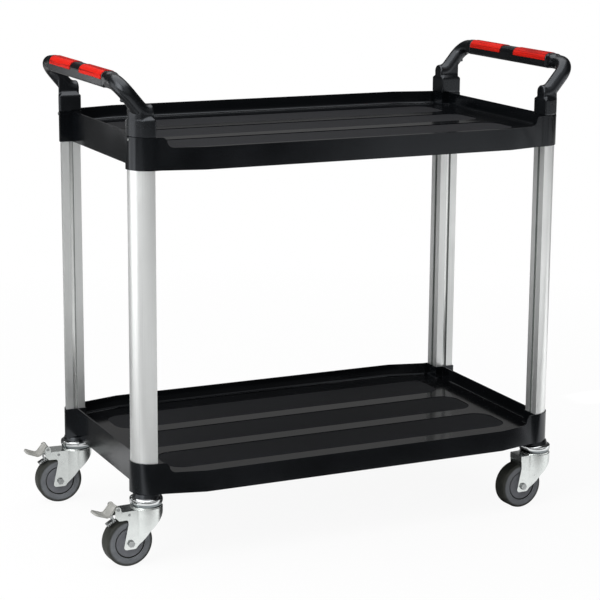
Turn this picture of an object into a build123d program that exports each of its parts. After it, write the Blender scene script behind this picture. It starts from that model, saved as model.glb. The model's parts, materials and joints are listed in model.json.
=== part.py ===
import os
from math import cos, radians, sin, sqrt, tan

from build123d import *

os.makedirs("parts", exist_ok=True)

# Tray trolley in millimetres: X along it, Y across it with the low lip at the front, Z up from the floor

# Frame: inner corners of the uprights and the step from one tray to the next
corner_length = 889.0
corner_width = 409.0
tray_pitch = 661.5

# Uprights: hollow quarter-round bars with a slot in each flat
upright_radius = 43.2
upright_wall = 2.0
slot_width = 9.2
slot_depth = 8.0
upright_fit = 0.25
plug_fit = 0.25

# Trays
tray_height = 65.3
sleeve_wall = 2.1
tray_wall = 3.0
floor_top = 37.4
floor_thickness = 3.5
floor_fillet = 5.0
lip_height = 45.1
lip_run = 23.0
side_bow = 23.0
flush_strip = 12.5
bow_run = 84.5
end_reach = 19.2
panel_width = 114.2
panel_gap = 39.4
panel_inset = 44.2
panel_radius = 36.5
panel_depth = 1.5
rib_thickness = 2.5
rib_depth = 13.5
cross_rib_spacing = 148.0

# Handle arms, measured from the inner corner and from the top of the upper tray
foot_height = 40.3
foot_chamfer = 6.7
neck_height = 63.4
neck_width = 31.0
neck_round = 3.6
neck_step = 0.5
heel_bend = 30.0
arm_plane = 21.5
arm_diameter = 32.0
arm_slope = 50.3
arm_bend = 28.8
arm_tail = 34.0
arm_corner_reach = 65.0
arm_corner_rise = 104.0
tail_start_radius = 11.5
tail_end_radius = 22.5
lug_width = 10.0
lug_length = 5.0
lug_height = 3.0
collar_length = 4.0
collar_proud = 0.5
handle_plug_depth = 30.0

# Grip bars and pads
grip_reach = 63.1
grip_rise = 107.9
grip_width = 32.6
grip_depth = 31.7
grip_top_round = 12.5
grip_bottom_round = 4.8
grip_spigot_radius = 8.0
grip_spigot_length = 24.0
grip_spigot_fit = 0.2
pad_band = 59.5
pad_end_gap = 2.4
pad_thickness = 4.0
pad_proud = 1.2
pad_fit = 0.1
pad_skirt = 15.4
pad_groove_width = 1.4
pad_groove_depth = 0.7
pad_groove_pitch = 4.6
pad_groove_count = 3

# Corner screws through sleeve and upright into the handle plug
screw_radius = 2.0
screw_head_radius = 3.2
screw_head_height = 2.0
screw_length = 24.0
screw_offset = 11.5
screw_drop = 5.8
screw_fit = 0.1

# Castor sockets and stems
boss_height = 7.5
boss_radius = 25.5
boss_flare = 2.7
castor_offset = 16.3
socket_seat = 6.0
socket_plug_depth = 34.0
stem_radius = 5.0
stem_fit = 0.05
stem_grip = 30.0
stem_head_radius = 10.0
stem_head_height = 4.0
stem_play = 0.3

# Swivel caps and bearings
swivel_height = 21.0
cap_top_radius = 28.5
cap_radius = 34.0
cap_bulge = 12.5
cap_crown = 1.6
cap_rim_inset = 0.9
cap_rim_gap = 1.0
cap_sheet = 1.8
seat_radius = 32.5
seat_height = 3.2
bearing_inner = 12.0
bearing_outer = 22.0
bearing_play = 0.3

# Wheels and axles
wheel_radius = 50.0
wheel_width = 34.0
tyre_inner = 29.8
tyre_shoulder = 4.5
tyre_bond = 0.05
groove_width = 2.4
groove_depth = 2.6
core_recess = 1.0
core_chamfer = 0.6
hub_radius = 14.0
hub_half = 17.5
bush_radius = 8.0
bush_fit = 0.05
axle_radius = 4.0
axle_fit = 0.05
axle_hole_fit = 0.1
axle_play = 0.3
bolt_flats = 13.0
bolt_head_height = 5.0
nut_height = 6.0

# Angles the castors stand at, in degrees about their stems
front_left_turn = 3.0
rear_left_turn = -4.0
front_right_turn = 4.0
rear_right_turn = 0.0

# Forks: the crown stands clear of the tread by a gap that also holds the cross pin
trail = 43.0
crown_gap = 16.5
fork_crown_radius = 34.0
fork_half = 21.5
fork_sheet = 2.5
fork_fillet = 8.0
skirt_drop = 7.0
leg_front = -4.0
leg_shoulder_drop = 44.0
leg_bulge = 1.5
leg_foot_drop = 12.5
leg_foot_front = 11.0
leg_foot_back = 16.5
leg_waist_back = 5.0
leg_waist_rise = 41.0
leg_round = 6.0
crown_back = 60.0
plain_crown_back = 49.5
flange_drop = 11.5

# Brake: rocker pedal, toothed shoe and their pins
pivot_back = 70.0
pivot_rise = 6.1
ear_radius = 6.0
ear_fillet = 5.0
ear_drop = 18.0
pedal_half = 16.5
pedal_sheet = 4.4
pedal_top_back = 0.1
pedal_top_rise = 7.1
pedal_valley_back = 18.6
pedal_valley_drop = 15.1
pedal_tip_back = 46.5
pedal_tip_drop = 4.8
pedal_bend = 9.0
pedal_tip_round = 7.0
pedal_rim = 3.0
dish_depth = 1.1
knuckle_radius = 5.5
pin_radius = 2.5
pin_fit = 0.05
pin_head_radius = 3.5
pin_head_height = 1.0
brake_travel = 9.0
brake_gap = 0.4
shoe_half = 6.0
shoe_sheet = 2.4
shoe_start = 114.0
shoe_end = 136.0
tooth_height = 3.0
tooth_count = 5
tab_angle = 119.0
tab_thickness = 4.0
stop_pin_radius = 3.0
stop_pin_back = 46.0
stop_pin_lift = 11.3

# Heights and radii that follow from the sizes above
castor_height = 2 * wheel_radius + crown_gap + fork_sheet + swivel_height
lower_tray_bottom = castor_height + boss_height
upper_tray_bottom = lower_tray_bottom + tray_pitch
handle_seat = upper_tray_bottom + tray_height
sleeve_radius = upright_radius + upright_fit + sleeve_wall
sleeve_back = upright_fit + sleeve_wall
crown_top = castor_height - swivel_height
crown_under = crown_top - fork_sheet
leg_inner = fork_half - fork_sheet
grip_half = corner_width / 2 + arm_plane - arm_bend - arm_tail
pivot_height = crown_top + pivot_rise
stop_pin_height = 2 * wheel_radius + stop_pin_lift

corners = {
    "front_left": (-1, -1),
    "front_right": (1, -1),
    "rear_left": (-1, 1),
    "rear_right": (1, 1),
}
ends = {"left": -1, "right": 1}
castor_turns = {
    "front_left": front_left_turn,
    "front_right": front_right_turn,
    "rear_left": rear_left_turn,
    "rear_right": rear_right_turn,
}


def box_between(x0, x1, y0, y1, z0, z1):
    middle = Pos((x0 + x1) / 2, (y0 + y1) / 2, (z0 + z1) / 2)
    return middle * Box(x1 - x0, y1 - y0, z1 - z0)


def rectangle_between(x0, x1, y0, y1):
    return Pos((x0 + x1) / 2, (y0 + y1) / 2) * Rectangle(x1 - x0, y1 - y0)


def cylinder_along(axis_turn, radius, start, end):
    return axis_turn * Pos(0, 0, (start + end) / 2) * Cylinder(radius, end - start)


def turned(points):
    outline = Plane.XZ * make_face(Polyline(*points, close=True))
    return revolve(outline, Axis.Z)


def polygon(points):
    return make_face(Polyline(*points, close=True))


def side_slab(face, half_width):
    return extrude(Plane.XZ * face, half_width, both=True)


def quarter(radius, flat):
    # Quarter-round face with its flats at the given distance from the corner
    square = rectangle_between(flat, radius, flat, radius)
    waste = rectangle_between(0, radius, 0, radius) - Circle(radius)
    return square - waste


def at_corners(face):
    # The same face at all four corners, turned so that its round side faces out
    turns = {(1, 1): 0, (-1, 1): 90, (-1, -1): 180, (1, -1): 270}
    placed = Sketch()
    for (side_x, side_y), turn in turns.items():
        spot = Pos(side_x * corner_length / 2, side_y * corner_width / 2)
        placed += spot * Rot(0, 0, turn) * face
    return placed


def corner_place(shape, side_x, side_y):
    # Move a piece modelled at the rear right corner to another corner
    if side_x < 0:
        shape = mirror(shape, about=Plane.YZ)
    if side_y < 0:
        shape = mirror(shape, about=Plane.XZ)
    return Pos(side_x * corner_length / 2, side_y * corner_width / 2) * shape


def upright_hollow(clearance):
    # Free space inside an upright, less a clearance for a plug
    inset = upright_wall + clearance
    hollow = quarter(upright_radius - inset, inset)
    wide = slot_width + 2 * inset
    deep = slot_depth + inset
    middle = upright_radius / 2
    hollow -= rectangle_between(middle - wide / 2, middle + wide / 2, 0, deep)
    hollow -= rectangle_between(0, deep, middle - wide / 2, middle + wide / 2)
    return hollow


def make_upright():
    middle = upright_radius / 2
    near = middle - slot_width / 2
    far = middle + slot_width / 2
    section = quarter(upright_radius, 0) - upright_hollow(0)
    section -= rectangle_between(near, far, 0, slot_depth)
    section -= rectangle_between(0, slot_depth, near, far)
    bottom = lower_tray_bottom + socket_seat
    upright = Pos(0, 0, bottom) * extrude(section, handle_seat - bottom)
    return upright - screw_hole(screw_radius + screw_fit)


def screw_hole(radius):
    reach = sleeve_radius + 10
    spot = Pos(0, screw_offset, handle_seat - screw_drop)
    return spot * cylinder_along(Rot(0, 90, 0), radius, 0, reach)


def tray_plan(inset):
    side = corner_width / 2 + upright_radius + side_bow - inset
    flush = corner_width / 2 + sleeve_radius - inset
    end = corner_length / 2
    bow_start = end - flush_strip
    bow_end = bow_start - bow_run
    quadrant = [(bow_end, side), (bow_start, flush), (end, flush)]
    right = quadrant + [(x, -y) for x, y in reversed(quadrant)]
    left = [(-x, -y) for x, y in right]
    middle = Rectangle(2 * (end + end_reach - inset), corner_width)
    return polygon(right + left) + middle


def lip_cut():
    # The front wall drops from full height to the lip in an S curve near each corner
    high = corner_length / 2 - flush_strip
    low = high - lip_run
    above = tray_height + 5
    middle = ((high + low) / 2, (tray_height + lip_height) / 2)
    right_upper = TangentArc((high, tray_height), middle, tangent=(-1, 0))
    right_lower = TangentArc((low, lip_height), middle, tangent=(1, 0))
    lip = Line((low, lip_height), (-low, lip_height))
    left_middle = (-middle[0], middle[1])
    left_lower = TangentArc((-low, lip_height), left_middle, tangent=(-1, 0))
    left_upper = TangentArc((-high, tray_height), left_middle, tangent=(1, 0))
    over = Polyline((-high, tray_height), (-high, above), (high, above), (high, tray_height))
    face = make_face([right_upper, right_lower, lip, left_lower, left_upper, over])
    return extrude(Plane.XZ * face, corner_width)


def make_tray():
    sleeves = at_corners(quarter(sleeve_radius, -sleeve_back))
    sockets = at_corners(quarter(upright_radius + upright_fit, -upright_fit))
    inside = tray_plan(tray_wall) - sleeves
    tray = extrude(tray_plan(0) + sleeves, tray_height)
    basin = Pos(0, 0, floor_top) * extrude(inside, tray_height)
    rim = basin.faces().sort_by(Axis.Z)[0].edges()
    tray -= fillet(rim, floor_fillet)
    floor_under = floor_top - floor_thickness
    rib_low = floor_under - rib_depth
    half_length = corner_length / 2 + end_reach
    half_width = corner_width / 2 + upright_radius + side_bow
    half_rib = rib_thickness / 2
    hollow = extrude(inside, floor_under)
    pitch = panel_width + panel_gap
    for line in (-1.5, -0.5, 0.5, 1.5):
        y = line * pitch
        hollow -= box_between(-half_length, half_length, y - half_rib, y + half_rib, rib_low, floor_under)
    for line in range(-2, 3):
        x = line * cross_rib_spacing
        hollow -= box_between(x - half_rib, x + half_rib, -half_width, half_width, rib_low, floor_under)
    tray -= hollow
    tray -= extrude(sockets, tray_height)
    tray -= lip_cut()
    panel = RectangleRounded(corner_length - 2 * panel_inset, panel_width, panel_radius)
    for row in (-1, 0, 1):
        tray -= Pos(0, row * pitch, floor_top - panel_depth) * extrude(panel, panel_depth)
    return tray


def bar_section(grow):
    # Grip bar across its length: flat sides, arched top, small rounds below
    section = Rectangle(grip_width + 2 * grow, grip_depth + 2 * grow)
    top = section.vertices().sort_by(Axis.Y)[2:]
    section = fillet(top, grip_top_round + grow)
    bottom = section.vertices().sort_by(Axis.Y)[:2]
    return fillet(bottom, grip_bottom_round + grow)


def make_grip_bar():
    bar = side_slab(bar_section(0), grip_half)
    skirt = grip_depth / 2 - pad_skirt - pad_fit
    around = rectangle_between(-grip_width, grip_width, skirt, grip_depth)
    recess = (bar_section(pad_proud + 1) & around) - bar_section(pad_proud - pad_thickness - pad_fit)
    start = pad_band / 2 - pad_fit
    end = grip_half - pad_end_gap + pad_fit
    slab = extrude(Plane.XZ * recess, end - start)
    for side in (-1, 1):
        bar -= Pos(0, side * (start + end) / 2 + (end - start) / 2, 0) * slab
        hole = cylinder_along(Rot(90, 0, 0), grip_spigot_radius + grip_spigot_fit, 0, grip_spigot_length + 1)
        tip = side * grip_half if side > 0 else side * grip_half + grip_spigot_length + 1
        bar -= Pos(0, tip, 0) * hole
    return bar


def make_grip_pad():
    skirt = grip_depth / 2 - pad_skirt
    around = rectangle_between(-grip_width, grip_width, skirt, grip_depth)
    section = (bar_section(pad_proud) & around) - bar_section(pad_proud - pad_thickness)
    crest = grip_depth / 2 + pad_proud
    first = -(pad_groove_count - 1) / 2
    for index in range(pad_groove_count):
        x = (first + index) * pad_groove_pitch
        section -= Pos(x, crest) * Rectangle(pad_groove_width, 2 * pad_groove_depth)
    length = grip_half - pad_end_gap - pad_band / 2
    return extrude(Plane.XZ * section, length)


def make_handle_arm(with_lug):
    # Modelled at the rear right corner: a bent tube from the foot up to the grip bar, which runs to the front
    rise = Vector(cos(radians(arm_slope)), 0, sin(radians(arm_slope)))
    corner = Vector(arm_corner_reach, arm_plane, handle_seat + arm_corner_rise)
    seam = Vector(grip_reach, grip_half - corner_width / 2, handle_seat + grip_rise)
    heel_height = handle_seat + neck_height - arm_diameter / 2
    heel = corner - rise * ((corner.Z - heel_height) / rise.Z)
    inner_end = Vector(neck_step - sleeve_back, arm_plane, heel_height)
    path = FilletPolyline(inner_end, heel, corner, seam, radius=[heel_bend, arm_bend])
    handle = sweep(Plane(origin=inner_end, z_dir=(1, 0, 0)) * Circle(arm_diameter / 2), path=path)
    handle = fillet(handle.faces().sort_by(Axis.X)[0].edges(), neck_round)

    # Near the seam the round arm takes on the outline of the grip bar
    at_seam = Pos(seam.X, seam.Y, seam.Z)
    beyond = box_between(-grip_width, grip_width, -2 * grip_spigot_length, 0, -grip_width, grip_width)
    handle -= at_seam * beyond
    outline = extrude(Plane.XZ * bar_section(0), -arm_tail)
    flare = Rot(90, 0, 0) * Pos(0, 0, -arm_tail / 2) * Cone(tail_start_radius, tail_end_radius, arm_tail)
    handle += at_seam * (outline & flare)
    handle += at_seam * extrude(Plane.XZ * bar_section(collar_proud), -collar_length)
    handle += at_seam * cylinder_along(Rot(90, 0, 0), grip_spigot_radius, -1, grip_spigot_length)

    # Small lug under the arm, just below the bend
    if with_lug:
        half_turn = radians(rise.get_angle(seam - corner)) / 2
        bend_start = corner - rise * (arm_bend * tan(half_turn))
        lug_reach = arm_diameter / 2 + lug_height
        lug_plane = Plane(origin=bend_start, x_dir=rise, z_dir=(rise.Z, 0, -rise.X))
        handle += lug_plane * Pos(0, 0, lug_reach / 2) * Box(lug_length, lug_width, lug_reach)

    # Foot over the tray corner, its top edges sloped
    foot = extrude(quarter(sleeve_radius, -sleeve_back), foot_height)
    shoulder = foot_height - foot_chamfer
    reach = sqrt(sleeve_radius**2 + sleeve_back**2)
    foot &= turned(
        [(0, 0), (reach, 0), (reach, shoulder), (reach - foot_chamfer, foot_height), (0, foot_height)]
    )
    slope_profile = [
        (-sleeve_back, 0),
        (reach, 0),
        (reach, foot_height),
        (-sleeve_back + foot_chamfer, foot_height),
        (-sleeve_back, shoulder),
    ]
    slope = side_slab(polygon(slope_profile), 2 * sleeve_radius)
    foot &= slope
    foot &= mirror(slope, about=Plane((0, 0, 0), z_dir=(1, -1, 0)))
    handle += Pos(0, 0, handle_seat) * foot

    # Neck between foot and tube, its outer side round like the foot
    neck_low = shoulder - foot_chamfer
    neck_profile = [
        (inner_end.X, neck_low),
        (sleeve_radius, neck_low),
        (sleeve_radius, arm_corner_rise - (arm_corner_reach - sleeve_radius) * rise.Z / rise.X),
        (heel.X, heel.Z - handle_seat),
        (inner_end.X, heel.Z - handle_seat),
    ]
    neck = Pos(0, arm_plane, 0) * side_slab(polygon(neck_profile), neck_width / 2)
    neck = fillet(neck.faces().sort_by(Axis.X)[0].edges(), neck_round)
    neck &= extrude(quarter(sleeve_radius - neck_step, -sleeve_back), 2 * neck_height)
    handle += Pos(0, 0, handle_seat) * neck

    plug = extrude(upright_hollow(plug_fit), handle_plug_depth)
    handle += Pos(0, 0, handle_seat - handle_plug_depth) * plug
    return handle - screw_hole(screw_radius + screw_fit)


def screw_seat():
    # Distance from the corner to the spot-faced seat of the screw head
    return sqrt(sleeve_radius**2 - (screw_offset + screw_head_radius)**2)


def drill_sleeves(tray_piece):
    # Screw holes with spot-faced seats in the sleeves of the upper tray
    spot = Pos(0, screw_offset, handle_seat - screw_drop)
    face = cylinder_along(Rot(0, 90, 0), screw_head_radius + screw_fit, screw_seat(), sleeve_radius + 1)
    hole = screw_hole(screw_radius + screw_fit) + spot * face
    for side_x, side_y in corners.values():
        tray_piece -= corner_place(hole, side_x, side_y)
    return tray_piece


def make_screw():
    # Along X from outside, into the plug of the handle
    seat = screw_seat()
    spot = Pos(0, screw_offset, handle_seat - screw_drop)
    shank = cylinder_along(Rot(0, 90, 0), screw_radius, seat - screw_length, seat)
    head = cylinder_along(Rot(0, 90, 0), screw_head_radius, seat, seat + screw_head_height)
    return spot * (shank + head)


def make_socket():
    seat = Pos(0, 0, lower_tray_bottom) * extrude(quarter(upright_radius, 0), socket_seat)
    plug_bottom = lower_tray_bottom + socket_seat
    plug = Pos(0, 0, plug_bottom) * extrude(upright_hollow(plug_fit), socket_plug_depth)
    boss_profile = [
        (0, castor_height),
        (boss_radius + boss_flare, castor_height),
        (boss_radius, lower_tray_bottom),
        (0, lower_tray_bottom),
    ]
    boss = Pos(castor_offset, castor_offset, 0) * turned(boss_profile)
    bore_start = Pos(castor_offset, castor_offset, castor_height)
    bore = cylinder_along(bore_start, stem_radius + stem_fit, -1, boss_height + stem_grip + 1)
    return seat + plug + boss - bore


def make_stem():
    head_top = crown_under - stem_play
    shank = cylinder_along(Pos(0, 0, 0), stem_radius, head_top - 1, lower_tray_bottom + stem_grip)
    head = cylinder_along(Pos(0, 0, 0), stem_head_radius, head_top - stem_head_height, head_top)
    return shank + head


def dome_line(inset):
    # Curved side of the cap from its top to its rim, inset by part of the sheet
    top = (cap_top_radius - inset, castor_height - inset)
    wide = (cap_radius - inset, castor_height - cap_bulge)
    rim = (cap_radius - cap_rim_inset - inset, crown_top + seat_height + cap_rim_gap)
    bulge = ((top[0] + wide[0]) / 2 + cap_crown, (top[1] + wide[1]) / 2 + cap_crown)
    return ThreePointArc(top, bulge, wide), Line(wide, rim)


def make_cap():
    bore = stem_radius + stem_fit
    outer_dome, outer_side = dome_line(0)
    inner_dome, inner_side = dome_line(cap_sheet)
    top = Line((bore, castor_height), outer_dome @ 0)
    rim = Line(outer_side @ 1, inner_side @ 1)
    rest = Polyline(inner_dome @ 0, (bore, castor_height - cap_sheet), (bore, castor_height))
    section = make_face([top, outer_dome, outer_side, rim, inner_side, inner_dome, rest])
    return revolve(Plane.XZ * section, Axis.Z)


def make_bearing():
    bottom = crown_top + seat_height
    top = castor_height - cap_sheet - bearing_play
    ring = Circle(bearing_outer) - Circle(bearing_inner)
    return Pos(0, 0, bottom) * extrude(ring, top - bottom)


def leg_outline():
    axle_x = -trail
    shoulder = (leg_front, crown_top - leg_shoulder_drop)
    skirt = (fork_crown_radius, crown_top - skirt_drop)
    middle = ((shoulder[0] + skirt[0]) / 2 + leg_bulge, (shoulder[1] + skirt[1]) / 2 - leg_bulge / 2)
    foot = wheel_radius - leg_foot_drop
    rest = Polyline(
        shoulder,
        (axle_x + leg_foot_front, foot),
        (axle_x - leg_foot_back, foot),
        (axle_x - leg_waist_back, wheel_radius + leg_waist_rise),
        (-plain_crown_back, crown_top),
        (fork_crown_radius, crown_top),
        skirt,
    )
    outline = make_face([ThreePointArc(skirt, middle, shoulder), rest])
    low = outline.vertices().sort_by(Axis.Y)[:2]
    return fillet(low, leg_round)


def brake_arm_outline():
    low = crown_top - ear_drop
    pivot = Pos(-pivot_back, pivot_height) * Circle(ear_radius)
    arm = polygon(
        [
            (-trail, low),
            (-pivot_back + 2, low),
            (-pivot_back - ear_radius, low + 8),
            (-pivot_back - ear_radius, pivot_height),
            (-pivot_back + ear_radius, pivot_height),
            (-pivot_back + ear_radius + 1, crown_top - 1),
            (-crown_back, crown_top),
            (-trail, crown_top),
        ]
    )
    return arm + pivot


def make_fork(braked):
    back = crown_back if braked else plain_crown_back
    plan = Circle(fork_crown_radius) + rectangle_between(-2 * trail, 0, -fork_half, fork_half)
    joint = -sqrt(fork_crown_radius**2 - fork_half**2)
    inner_corners = [v for v in plan.vertices() if abs(v.X - joint) < 0.01]
    plan = fillet(inner_corners, fork_fillet)
    hollow = offset(plan, -fork_sheet) + rectangle_between(-2 * trail - 1, -trail, -leg_inner, leg_inner)
    shell = extrude(plan - hollow, castor_height)
    outline = leg_outline()
    if braked:
        outline += brake_arm_outline()
        under_arm = [v for v in outline.vertices() if abs(v.Y - crown_top + ear_drop) < 0.01]
        outline = fillet(max(under_arm, key=lambda v: v.X), ear_fillet)
    fork = shell & side_slab(outline, fork_crown_radius + 1)
    crown = plan & rectangle_between(-back, fork_crown_radius, -fork_crown_radius, fork_crown_radius)
    fork += Pos(0, 0, crown_under) * extrude(crown, fork_sheet)
    fork += Pos(0, 0, crown_top) * extrude(Circle(seat_radius), seat_height)
    if not braked:
        flange_front = -back + fork_sheet
        fork += box_between(-back, flange_front, -fork_half, fork_half, crown_top - flange_drop, crown_top)
    fork -= cylinder_along(Pos(0, 0, 0), stem_radius + stem_fit, crown_under - 1, crown_top + seat_height + 1)
    across = Rot(90, 0, 0)
    past = fork_half + 1
    fork -= Pos(-trail, 0, wheel_radius) * cylinder_along(across, axle_radius + axle_hole_fit, -past, past)
    if braked:
        pivot = Pos(-pivot_back, 0, pivot_height)
        fork -= pivot * cylinder_along(across, pin_radius + pin_fit, -past, past)
        stop = Pos(-stop_pin_back, 0, stop_pin_height)
        fork -= stop * cylinder_along(across, stop_pin_radius + pin_fit, -past, past)
    return fork


def wheel_turned(points):
    # Points are (distance along the axle, radius)
    outline = polygon(points)
    solid = revolve(outline, Axis.X)
    return Pos(-trail, 0, wheel_radius) * Rot(0, 0, 90) * solid


def make_tyre():
    half = wheel_width / 2
    inner = tyre_inner + tyre_bond
    lip = half - core_recess
    side = wheel_radius - 2 * tyre_shoulder
    profile = [
        (lip - groove_depth, inner),
        (lip - groove_depth, inner + groove_width),
        (lip, inner + groove_width),
        (half, side),
        (half - 0.7, wheel_radius - tyre_shoulder),
        (half - 0.4 * tyre_shoulder, wheel_radius - 0.4 * tyre_shoulder),
        (half - tyre_shoulder, wheel_radius),
    ]
    return wheel_turned(profile + [(-x, r) for x, r in reversed(profile)])


def make_wheel_core():
    face = wheel_width / 2 - core_recess
    bore = bush_radius + bush_fit
    profile = [
        (hub_half, bore),
        (hub_half, hub_radius),
        (face, hub_radius + 1),
        (face, tyre_inner - core_chamfer),
        (face - core_chamfer, tyre_inner),
    ]
    return wheel_turned(profile + [(-x, r) for x, r in reversed(profile)])


def make_bush():
    half = leg_inner - axle_play
    inner = axle_radius + axle_fit
    return wheel_turned([(-half, inner), (half, inner), (half, bush_radius), (-half, bush_radius)])


def make_axle():
    across = Rot(90, 0, 0)
    shank = cylinder_along(across, axle_radius, -fork_half - nut_height - 1, fork_half + 1)
    hexagon = RegularPolygon(bolt_flats / 2, 6, major_radius=False)
    head = across * Pos(0, 0, fork_half) * extrude(hexagon, bolt_head_height)
    nut_face = hexagon - Circle(axle_radius + axle_fit)
    nut = across * Pos(0, 0, -fork_half - nut_height) * extrude(nut_face, nut_height)
    spot = Pos(-trail, 0, wheel_radius)
    return Compound([spot * (shank + head), spot * nut])


def pedal_points():
    top = (-pivot_back - pedal_top_back, pivot_height + pedal_top_rise)
    valley = (-pivot_back - pedal_valley_back, pivot_height - pedal_valley_drop)
    tip = (-pivot_back - pedal_tip_back, pivot_height - pedal_tip_drop)
    return top, valley, tip


def pedal_dish():
    # Shallow hollow in the upper side of the pedal, inside a raised rim
    top, valley, tip = [Vector(*point) for point in pedal_points()]
    up = (top - valley).normalized()
    out = (tip - valley).normalized()
    half_bend = radians(up.get_angle(out)) / 2
    lift = (up + out).normalized() * (pedal_sheet / 2 / sin(half_bend))
    short = pedal_rim + lift.length * cos(half_bend)
    bend_points = top + lift - up * short, valley + lift, tip + lift - out * short
    line = FilletPolyline(*bend_points, radius=pedal_bend - pedal_sheet / 2)
    return side_slab(trace(line, 2 * dish_depth), pedal_half - pedal_rim)


def make_pedal():
    top, valley, tip = pedal_points()
    sheet = trace(FilletPolyline(top, valley, tip, radius=pedal_bend), pedal_sheet)
    plate = side_slab(sheet, pedal_half)
    tip_edges = plate.faces().sort_by(Axis.X)[0].edges()
    plate = fillet(tip_edges.filter_by(Axis.Y, reverse=True), pedal_tip_round)
    plate -= pedal_dish()
    across = Rot(90, 0, 0)
    pivot = Pos(-pivot_back, 0, pivot_height)
    pedal = plate + pivot * cylinder_along(across, knuckle_radius, -pedal_half, pedal_half)
    return pedal - pivot * cylinder_along(across, pin_radius + pin_fit, -pedal_half - 1, pedal_half + 1)


def sector(inner, outer, start, end):
    # Part of a ring about the axle, angles from the front over the top
    first = radians(start)
    last = radians(end)
    inner_arc = CenterArc((0, 0), inner, start, end - start)
    outer_arc = CenterArc((0, 0), outer, start, end - start)
    first_side = Line((inner * cos(first), inner * sin(first)), (outer * cos(first), outer * sin(first)))
    last_side = Line((inner * cos(last), inner * sin(last)), (outer * cos(last), outer * sin(last)))
    return Pos(-trail, wheel_radius) * make_face([inner_arc, outer_arc, first_side, last_side])


def make_shoe(pedal):
    # Drawn pressed against the tread, then swung back by the travel of the pedal
    tooth_tip = wheel_radius + brake_gap
    root = tooth_tip + tooth_height
    back = root + shoe_sheet
    section = sector(root, back, shoe_start, shoe_end)
    pitch = (shoe_end - shoe_start) / (tooth_count - 0.5)
    for index in range(tooth_count):
        start = shoe_start + index * pitch
        section += sector(tooth_tip, root + 0.5, start, start + pitch / 2)
    tab_length = pivot_height + pedal_top_rise - wheel_radius
    tab = Pos(-trail, wheel_radius) * Rot(0, 0, tab_angle) * Pos(back - 0.5 + tab_length / 2, 0)
    section += tab * Rectangle(tab_length, tab_thickness)
    pivot_axis = Axis((-pivot_back, 0, pivot_height), (0, 1, 0))
    shoe = side_slab(section, shoe_half).rotate(pivot_axis, brake_travel)
    top, valley, tip = pedal_points()
    below = polygon([top, valley, tip, (tip[0], 0), (0, 0), (0, top[1])])
    shoe &= side_slab(below, shoe_half + 1)
    return shoe - pedal


def make_brake_pins():
    across = Rot(90, 0, 0)
    outer = fork_half + pin_head_height
    pivot = cylinder_along(across, pin_radius, -outer, outer)
    pivot += cylinder_along(across, pin_head_radius, fork_half, outer)
    pivot += cylinder_along(across, pin_head_radius, -outer, -fork_half)
    stop = cylinder_along(across, stop_pin_radius, -fork_half - 0.5, fork_half + 0.5)
    pivot_spot = Pos(-pivot_back, 0, pivot_height)
    stop_spot = Pos(-stop_pin_back, 0, stop_pin_height)
    return Compound([pivot_spot * pivot, stop_spot * stop])


pieces = {}

tray = make_tray()
pieces["top_tray"] = drill_sleeves(Pos(0, 0, upper_tray_bottom) * tray)
pieces["bottom_tray"] = Pos(0, 0, lower_tray_bottom) * tray

upright = make_upright()
handle_arms = {True: make_handle_arm(True), False: make_handle_arm(False)}
socket = make_socket()
screw = make_screw()
stem = make_stem()
cap = make_cap()
bearing = make_bearing()
tyre = make_tyre()
wheel_core = make_wheel_core()
bush = make_bush()
axle = make_axle()
forks = {True: make_fork(True), False: make_fork(False)}
pedal = make_pedal()
shoe = make_shoe(pedal)
brake_pins = make_brake_pins()

screws = []
stems = []
for corner, (side_x, side_y) in corners.items():
    pieces[f"upright_{corner}"] = corner_place(upright, side_x, side_y)
    pieces[f"handle_arm_{corner}"] = corner_place(handle_arms[side_x == side_y], side_x, side_y)
    pieces[f"castor_socket_{corner}"] = corner_place(socket, side_x, side_y)
    screws.append(corner_place(screw, side_x, side_y))
    swivel_x = side_x * (corner_length / 2 + castor_offset)
    swivel_y = side_y * (corner_width / 2 + castor_offset)
    swivel = Pos(swivel_x, swivel_y, 0) * Rot(0, 0, castor_turns[corner])
    braked = side_x < 0
    stems.append(swivel * stem)
    pieces[f"castor_cap_{corner}"] = swivel * cap
    pieces[f"castor_fork_{corner}"] = swivel * forks[braked]
    pieces[f"swivel_bearing_{corner}"] = swivel * bearing
    pieces[f"castor_axle_{corner}"] = swivel * axle
    pieces[f"wheel_core_{corner}"] = swivel * wheel_core
    pieces[f"tyre_{corner}"] = swivel * tyre
    pieces[f"hub_bush_{corner}"] = swivel * bush
    if braked:
        pieces[f"brake_pedal_{corner}"] = swivel * pedal
        pieces[f"brake_shoe_{corner}"] = swivel * shoe
        pieces[f"brake_pins_{corner}"] = swivel * brake_pins

pieces["corner_screws"] = Compound(screws)
pieces["castor_stems"] = Compound(stems)

grip_bar = make_grip_bar()
grip_pad = make_grip_pad()
pad_start = pad_band / 2
pad_length = grip_half - pad_end_gap - pad_start
for end, side in ends.items():
    spot = Pos(side * (corner_length / 2 + grip_reach), 0, handle_seat + grip_rise)
    pieces[f"grip_bar_{end}"] = spot * grip_bar
    pieces[f"grip_pad_front_{end}"] = spot * Pos(0, -pad_start, 0) * grip_pad
    pieces[f"grip_pad_rear_{end}"] = spot * Pos(0, pad_start + pad_length, 0) * grip_pad

# Bring the middle of the whole trolley over the origin
boxes = [piece.bounding_box() for piece in pieces.values()]
middle_shift = -(min(box.min.X for box in boxes) + max(box.max.X for box in boxes)) / 2
for name, piece in pieces.items():
    export_step(Pos(middle_shift, 0, 0) * piece, f"parts/{name}.step")

print("middle shift", round(middle_shift, 4))
print("swivel spacing", corner_length / 2 + castor_offset, corner_width / 2 + castor_offset)
print("pedal pivot", -pivot_back, pivot_height, "axle", -trail, wheel_radius)
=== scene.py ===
import json
import math

import bmesh
import bpy
from mathutils import Matrix, Vector


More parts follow.
